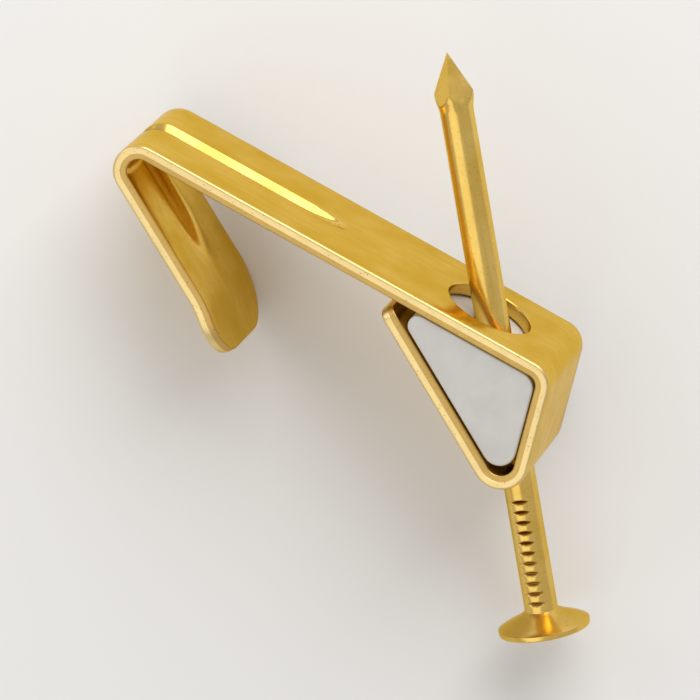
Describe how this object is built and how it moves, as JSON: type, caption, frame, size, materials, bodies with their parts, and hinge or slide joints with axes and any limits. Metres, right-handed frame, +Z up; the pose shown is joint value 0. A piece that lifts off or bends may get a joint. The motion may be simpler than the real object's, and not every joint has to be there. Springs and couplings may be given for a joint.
{
  "type": "picture hook",
  "caption": "Folded plated-steel picture hook with a sloping nail held in a plastic insert, for hanging a framed picture on a wall.",
  "frame": {"origin": "where the nail's axis crosses the wall plane, on the hook's centre line", "axes": "+Z up the wall, along the strip; +Y into the wall; +X along the wall, across the strip; the hook's front faces -Y"},
  "size_m": [0.0094, 0.032, 0.0392],
  "materials": {
    "brass_plated_strip": "polished brass plating on steel",
    "brass_plated_nail": "bright brass plating on drawn steel wire",
    "white_insert": "satin moulded plastic"
  },
  "bodies": {
    "root": {"hanger_strip": "brass_plated_strip", "nail": "brass_plated_nail", "nail_insert": "white_insert"}
  },
  "joints": []
}
